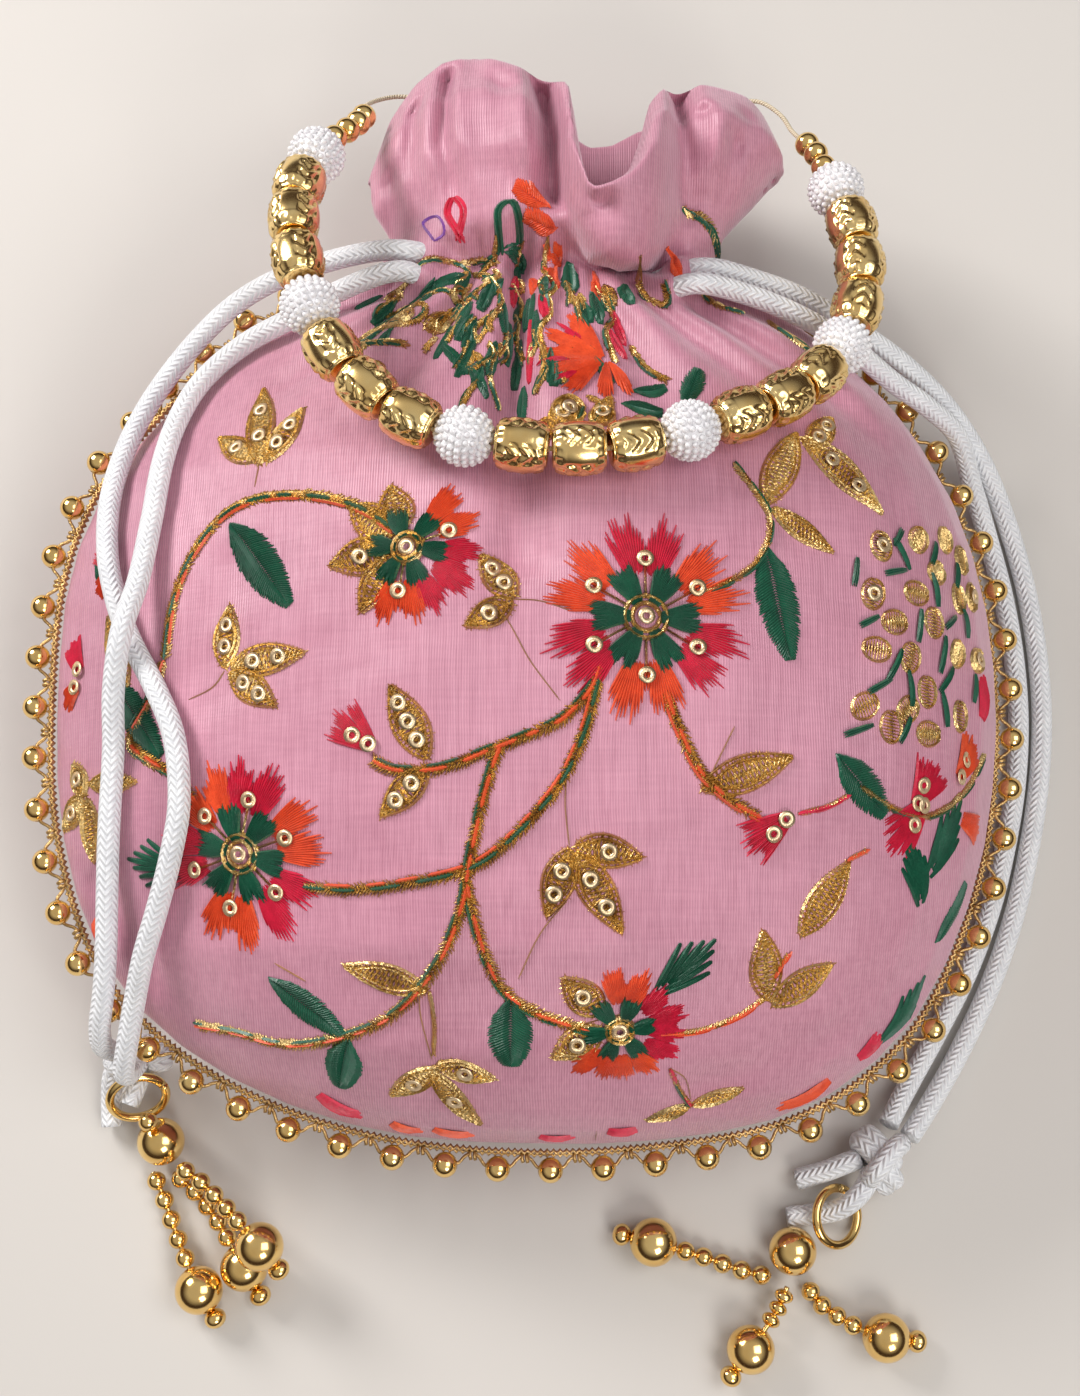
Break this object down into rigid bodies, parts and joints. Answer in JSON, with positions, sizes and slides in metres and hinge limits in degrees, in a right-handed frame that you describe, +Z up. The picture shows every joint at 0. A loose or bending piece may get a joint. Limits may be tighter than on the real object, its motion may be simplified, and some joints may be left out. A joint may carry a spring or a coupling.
{
  "type": "potli bag",
  "caption": "Drawstring pouch of pink embroidered silk with a frilled neck, beaded seam, bead handle and two white drawcords ending in bead tassels.",
  "frame": {"origin": "under the middle of the bag's body, on the flat of the back panel that it lies on", "axes": "+Z up out of the embroidered front, +Y from the bag's bottom towards the frill, +X to the right of the front"},
  "size_m": [0.2194, 0.2784, 0.0801],
  "materials": {
    "pink_dupion": "pink dupion silk with a soft sheen, embroidered on the front",
    "trim_gold": "antique gold beads and wire",
    "bead_gold": "bright gold plated beads",
    "pearl_white": "glossy milk-white beads with raised dots",
    "cord_white": "white braided cord",
    "string_cream": "twisted cream thread"
  },
  "bodies": {
    "bag": {"front_panel": "pink_dupion", "back_panel": "pink_dupion", "bead_trim": "trim_gold", "left_cord_outer": "cord_white", "left_cord_inner": "cord_white", "right_cord_outer": "cord_white", "right_cord_inner": "cord_white", "left_knot": "cord_white", "right_knot": "cord_white"},
    "handle": {"handle_string": "string_cream", "gold_bead_01": "bead_gold", "gold_bead_02": "bead_gold", "gold_bead_03": "bead_gold", "gold_bead_04": "bead_gold", "gold_bead_05": "bead_gold", "gold_bead_06": "bead_gold", "gold_bead_07": "bead_gold", "gold_bead_08": "bead_gold", "gold_bead_09": "bead_gold", "gold_bead_10": "bead_gold", "gold_bead_11": "bead_gold", "gold_bead_12": "bead_gold", "gold_bead_13": "bead_gold", "gold_bead_14": "bead_gold", "gold_bead_15": "bead_gold", "pearl_bead_01": "pearl_white", "pearl_bead_02": "pearl_white", "pearl_bead_03": "pearl_white", "pearl_bead_04": "pearl_white", "pearl_bead_05": "pearl_white", "pearl_bead_06": "pearl_white", "spacer_bead_01": "bead_gold", "spacer_bead_02": "bead_gold", "spacer_bead_03": "bead_gold", "spacer_bead_04": "bead_gold", "spacer_bead_05": "bead_gold", "spacer_bead_06": "bead_gold", "spacer_bead_07": "bead_gold"},
    "left_tassel": {"left_ring": "trim_gold", "left_cap_bead": "bead_gold", "left_top_ball": "bead_gold"},
    "right_tassel": {"right_ring": "trim_gold", "right_top_ball": "bead_gold"},
    "left_string_1": {"left_string_1": "bead_gold", "left_string_1_end_ball": "bead_gold"},
    "left_string_2": {"left_string_2": "bead_gold", "left_string_2_end_ball": "bead_gold"},
    "left_string_3": {"left_string_3": "bead_gold", "left_string_3_end_ball": "bead_gold"},
    "right_string_1": {"right_string_1": "bead_gold", "right_string_1_end_ball": "bead_gold"},
    "right_string_2": {"right_string_2": "bead_gold", "right_string_2_end_ball": "bead_gold"},
    "right_string_3": {"right_string_3": "bead_gold", "right_string_3_end_ball": "bead_gold"}
  },
  "joints": [
    {"name": "handle_swing", "type": "hinge", "parent": "bag", "child": "handle", "pos_m": [0.011, 0.1346, 0.0225], "axis": [-1, 0, 0], "range_deg": [0, 150]},
    {"name": "left_tassel_swing", "type": "hinge", "parent": "bag", "child": "left_tassel", "pos_m": [-0.0836, -0.0783, 0.0123], "axis": [0, 0, 1], "range_deg": [-8, 8]},
    {"name": "right_tassel_swing", "type": "hinge", "parent": "bag", "child": "right_tassel", "pos_m": [0.064, -0.1045, 0.0046], "axis": [0, 0, 1], "range_deg": [0, 14]},
    {"name": "left_string_1_swing", "type": "hinge", "parent": "left_tassel", "child": "left_string_1", "pos_m": [-0.0776, -0.091, 0.0052], "axis": [0, 0, 1], "range_deg": [-15, 0]},
    {"name": "left_string_2_swing", "type": "hinge", "parent": "left_tassel", "child": "left_string_2", "pos_m": [-0.0776, -0.091, 0.0052], "axis": [0, 0, 1], "range_deg": [0, 12]},
    {"name": "left_string_3_swing", "type": "hinge", "parent": "left_tassel", "child": "left_string_3", "pos_m": [-0.0776, -0.091, 0.0052], "axis": [0, 0, 1], "range_deg": [0, 2]},
    {"name": "right_string_1_swing", "type": "hinge", "parent": "right_tassel", "child": "right_string_1", "pos_m": [0.0545, -0.1132, 0.0052], "axis": [0, 0, 1], "range_deg": [-12, 8]},
    {"name": "right_string_2_swing", "type": "hinge", "parent": "right_tassel", "child": "right_string_2", "pos_m": [0.0545, -0.1132, 0.0052], "axis": [0, 0, 1], "range_deg": [-6, 6]},
    {"name": "right_string_3_swing", "type": "hinge", "parent": "right_tassel", "child": "right_string_3", "pos_m": [0.0545, -0.1132, 0.0052], "axis": [0, 0, 1], "range_deg": [-6, 12]}
  ]
}
